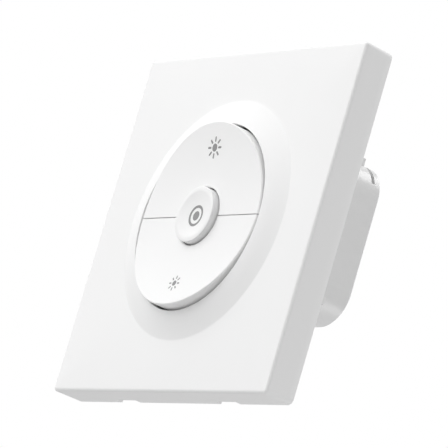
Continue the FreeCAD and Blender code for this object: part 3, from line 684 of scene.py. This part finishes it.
class DIMMER_OT_printed_marks(bpy.types.Operator):
    """Prints the ring on the button and the two suns on the keys"""
    bl_idname = "dimmer.printed_marks"
    bl_label = "Printed marks"

    def execute(self, context):
        marks = context.scene.dimmer_marks
        ink = printed_ink("pad_printed_grey_ink", context.scene.dimmer_colours.ink)

        on_button = button_face(context.scene.dimmer_button)
        on_key = key_face(marks.face_curve)
        low = -marks.ring_drop
        ring = disc_cells(
            marks.aside, low, marks.ring_radius - marks.ring_stroke, marks.ring_radius)
        dot = disc_cells(marks.aside, low, 0, marks.ring_dot)
        power = print_mark("power_ring_mark", ring + dot, on_button, marks.thickness)
        pieces = [(power, "power_key", "button_white")]
        suns = (
            ("bright_sun_mark", marks.upper_height, marks.upper_dot, marks.upper_reach,
             marks.upper_stroke, "upper_key"),
            ("dim_sun_mark", -marks.lower_height, marks.lower_dot, marks.lower_reach,
             marks.lower_stroke, "lower_key"),
        )
        for name, z, dot_r, reach, stroke, body in suns:
            cells = disc_cells(marks.aside, z, 0, dot_r)
            for i in range(SUN_RAYS):
                turn = 2 * math.pi * i / SUN_RAYS
                cells += ray_cells(marks.aside, z, dot_r + marks.ray_gap, reach, stroke, turn)
            sun = print_mark(name, cells, on_key, marks.thickness)
            pieces.append((sun, body, "key_white"))
        for obj, body, slot in pieces:
            give(obj, ink)
            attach(obj, body)
        return {"FINISHED"}


class DIMMER_OT_rear_parts(bpy.types.Operator):
    """Gives the housing, frame, carrier and terminals their finishes"""
    bl_idname = "dimmer.rear_parts"
    bl_label = "Rear parts"

    def execute(self, context):
        colours = context.scene.dimmer_colours
        dress(["rear_housing"], moulded_abs("moulded_abs_housing", colours.housing, 0.22))
        dress(["mounting_frame"], moulded_abs("moulded_abs_frame", colours.housing))
        dress(["key_carrier"], moulded_abs("moulded_abs_carrier", colours.carrier))
        dress(["terminal_block"], moulded_abs("moulded_polyamide_block", colours.block, 0.45))
        dress(["terminal_cages"], rolled_metal("extruded_brass", linear("C9A968"), 0.32))
        dress(["terminal_screws", "housing_screws"],
              rolled_metal("zinc_plated_steel", linear("B9BDC2"), 0.3))
        return {"FINISHED"}


class DIMMER_OT_inner_parts(bpy.types.Operator):
    """Gives the boards and the parts on them their finishes"""
    bl_idname = "dimmer.inner_parts"
    bl_label = "Inner parts"

    def execute(self, context):
        colours = context.scene.dimmer_colours
        black = linear("2A2A2C")
        dress(["key_board", "power_board", "radio_board"],
              glass_fibre_board("glass_fibre_laminate", colours.board))
        dress(["upper_switch_body", "lower_switch_body", "power_switch_body", "header_body",
               "header_socket"], moulded_abs("moulded_nylon_black", black, 0.45, 0.4))
        dress(["upper_switch_plunger", "lower_switch_plunger", "power_switch_plunger"],
              moulded_abs("moulded_acetal_cream", linear("DDD6C2"), 0.35, 0.5))
        dress(["radio_shield", "fuse_caps"], rolled_metal("tinned_steel", linear("C4C4C0"), 0.28))
        dress(["header_pins"], rolled_metal("gold_plated_brass", linear("D8B25A"), 0.22))
        dress(["controller_chip", "power_transistors", "bridge_rectifier"],
              moulded_abs("moulded_epoxy_black", black, 0.6, 0.3))
        dress(["status_lamp"], dipped_epoxy("cast_lamp_epoxy", linear("F2ECC8")))
        dress(["fuse_body"], dipped_epoxy("glazed_ceramic", linear("EFEBDD")))
        dress(["film_capacitor"], dipped_epoxy("boxed_polyester_film", linear("D9A52B")))
        dress(["bulk_capacitor"], rolled_metal("drawn_aluminium_can", linear("C9CBD0"), 0.3))
        dress(["heat_sink"], rolled_metal("rolled_aluminium", linear("C4C6C8"), 0.36))
        dress(["choke_core", "transformer_core"],
              sintered_ferrite("sintered_ferrite", linear("4A4A4C")))
        dress(["choke_winding"], wound_wire("enamelled_copper_wire", linear("C2703E")))
        dress(["transformer_winding"], dipped_epoxy("polyester_tape", linear("D9B03A")))
        dress(["varistor"], dipped_epoxy("dipped_epoxy_blue", linear("2D5C9E")))
        return {"FINISHED"}


def soft_lamp(name, place, target, side, watts):
    """Square area lamp that faces a point and isn't seen itself."""
    data = bpy.data.lights.new(name, "AREA")
    data.shape = "SQUARE"
    data.size = side
    data.energy = watts
    lamp = add_object(name, data)
    lamp.location = place
    lamp.rotation_euler = (Vector(target) - Vector(place)).to_track_quat("-Z", "Y").to_euler()
    lamp.visible_camera = False


def seen_directly(tree):
    """1 for what the camera sees, straight or through glossy and clear surfaces, else 0."""
    path = add_node(tree, "ShaderNodeLightPath")
    share = path.outputs["Is Camera Ray"]
    for ray in ("Is Glossy Ray", "Is Transmission Ray"):
        share = add_node(tree, "ShaderNodeMath", {
            0: share, 1: path.outputs[ray]}, operation="MAXIMUM").outputs[0]
    return share


def studio_world(strength):
    """Even pale light, seen as plain white."""
    world = bpy.data.worlds.new("studio_world")
    bpy.context.scene.world = world
    world.use_nodes = True
    tree = world.node_tree
    tree.nodes.clear()
    light = add_node(tree, "ShaderNodeBackground", {"Color": (1, 1, 1, 1), "Strength": strength})
    backdrop = add_node(tree, "ShaderNodeBackground", {"Color": (1, 1, 1, 1), "Strength": 1.0})
    mixed = add_node(tree, "ShaderNodeMixShader", {
        0: seen_directly(tree), 1: light.outputs[0], 2: backdrop.outputs[0]})
    add_node(tree, "ShaderNodeOutputWorld", {"Surface": mixed.outputs[0]})


def studio_floor(seen_colour, bounce_colour):
    """Wide pale floor, well below the part, seen paler than the light that it throws back."""
    turns = [2 * math.pi * i / FLOOR_POINTS for i in range(FLOOR_POINTS)]
    rings = [
        [(radius * math.cos(t), radius * math.sin(t), FLOOR_LEVEL) for t in turns]
        for radius in (FLOOR_REACH * share for share in FLOOR_RINGS)]
    rings.append([(x, y, z - FLOOR_THICKNESS) for x, y, z in rings[-1]])
    floor = skin("studio_floor", rings, False)
    # Painted board: matt and nearly white, with a faint unevenness from the roller. The glow
    # keeps it pale where it is seen, and the darker bounce keeps the part's underside shaded.
    material, tree, place = new_material("painted_board")
    nap = grain(tree, place, 3.0, 3.0)
    seen = seen_directly(tree)
    finish_surface(tree, {
        "Base Color": tint(tree, seen, bounce_colour, seen_colour),
        "Roughness": between(tree, nap, 0.75, 0.9),
        "Emission Color": (1, 1, 1, 1),
        "Emission Strength": between(tree, seen, 0.0, FLOOR_GLOW),
    }, nap, 0.05)
    give(floor, material)


def photo_camera():
    """Camera at the photograph's place: below and to the right, looking slightly up."""
    data = bpy.data.cameras.new("photo_camera")
    data.sensor_fit = "HORIZONTAL"
    data.sensor_width = CAMERA_SENSOR
    data.lens = CAMERA_LENS
    data.clip_start, data.clip_end = CAMERA_RANGE
    camera = add_object("photo_camera", data)
    forward = Vector(CAMERA_FORWARD).normalized()
    right = forward.cross(Vector(CAMERA_UP)).normalized()
    up = right.cross(forward)
    turn = Matrix((right, up, -forward)).transposed().to_4x4()
    camera.matrix_world = Matrix.Translation(CAMERA_PLACE) @ turn
    bpy.context.scene.camera = camera


class DIMMER_OT_stage(bpy.types.Operator):
    """Sets up the pale floor, the soft lamps, the world and the camera"""
    bl_idname = "dimmer.stage"
    bl_label = "Stage"

    def execute(self, context):
        colours = context.scene.dimmer_colours
        studio_floor(colours.floor, colours.floor_bounce)
        studio_world(WORLD_STRENGTH)
        for lamp in LAMPS:
            soft_lamp(*lamp)
        photo_camera()
        context.scene.view_settings.view_transform = "Standard"
        return {"FINISHED"}


class DIMMER_PT_panel(bpy.types.Panel):
    """Lists the sizes, the colours and the pieces"""
    bl_idname = "DIMMER_PT_panel"
    bl_label = "Wall dimmer key"
    bl_space_type = "VIEW_3D"
    bl_region_type = "UI"
    bl_category = "Dimmer"

    def draw(self, context):
        for group_name in GROUPS:
            group = getattr(context.scene, group_name)
            box = self.layout.box()
            for name in group.bl_rna.properties.keys():
                if name not in {"rna_type", "name"}:
                    box.prop(group, name)
        for operator in OPERATORS:
            self.layout.operator(operator.bl_idname)


GROUPS = {
    "dimmer_plate": DimmerPlate,
    "dimmer_button": DimmerButton,
    "dimmer_marks": DimmerMarks,
    "dimmer_colours": DimmerColours,
}
OPERATORS = (
    DIMMER_OT_cover_plate,
    DIMMER_OT_rocker_keys,
    DIMMER_OT_power_button,
    DIMMER_OT_printed_marks,
    DIMMER_OT_rear_parts,
    DIMMER_OT_inner_parts,
    DIMMER_OT_stage,
)


def register():
    for group in GROUPS.values():
        bpy.utils.register_class(group)
    for name, group in GROUPS.items():
        setattr(bpy.types.Scene, name, bpy.props.PointerProperty(type=group))
    for operator in OPERATORS:
        bpy.utils.register_class(operator)
    bpy.utils.register_class(DIMMER_PT_panel)


def unregister():
    bpy.utils.unregister_class(DIMMER_PT_panel)
    for operator in reversed(OPERATORS):
        bpy.utils.unregister_class(operator)
    for name, group in reversed(GROUPS.items()):
        delattr(bpy.types.Scene, name)
        bpy.utils.unregister_class(group)


def build():
    register()
    bpy.ops.dimmer.cover_plate()
    bpy.ops.dimmer.rocker_keys()
    bpy.ops.dimmer.power_button()
    bpy.ops.dimmer.printed_marks()
    bpy.ops.dimmer.rear_parts()
    bpy.ops.dimmer.inner_parts()
    bpy.ops.dimmer.stage()


if __name__ == "__main__":
    build()
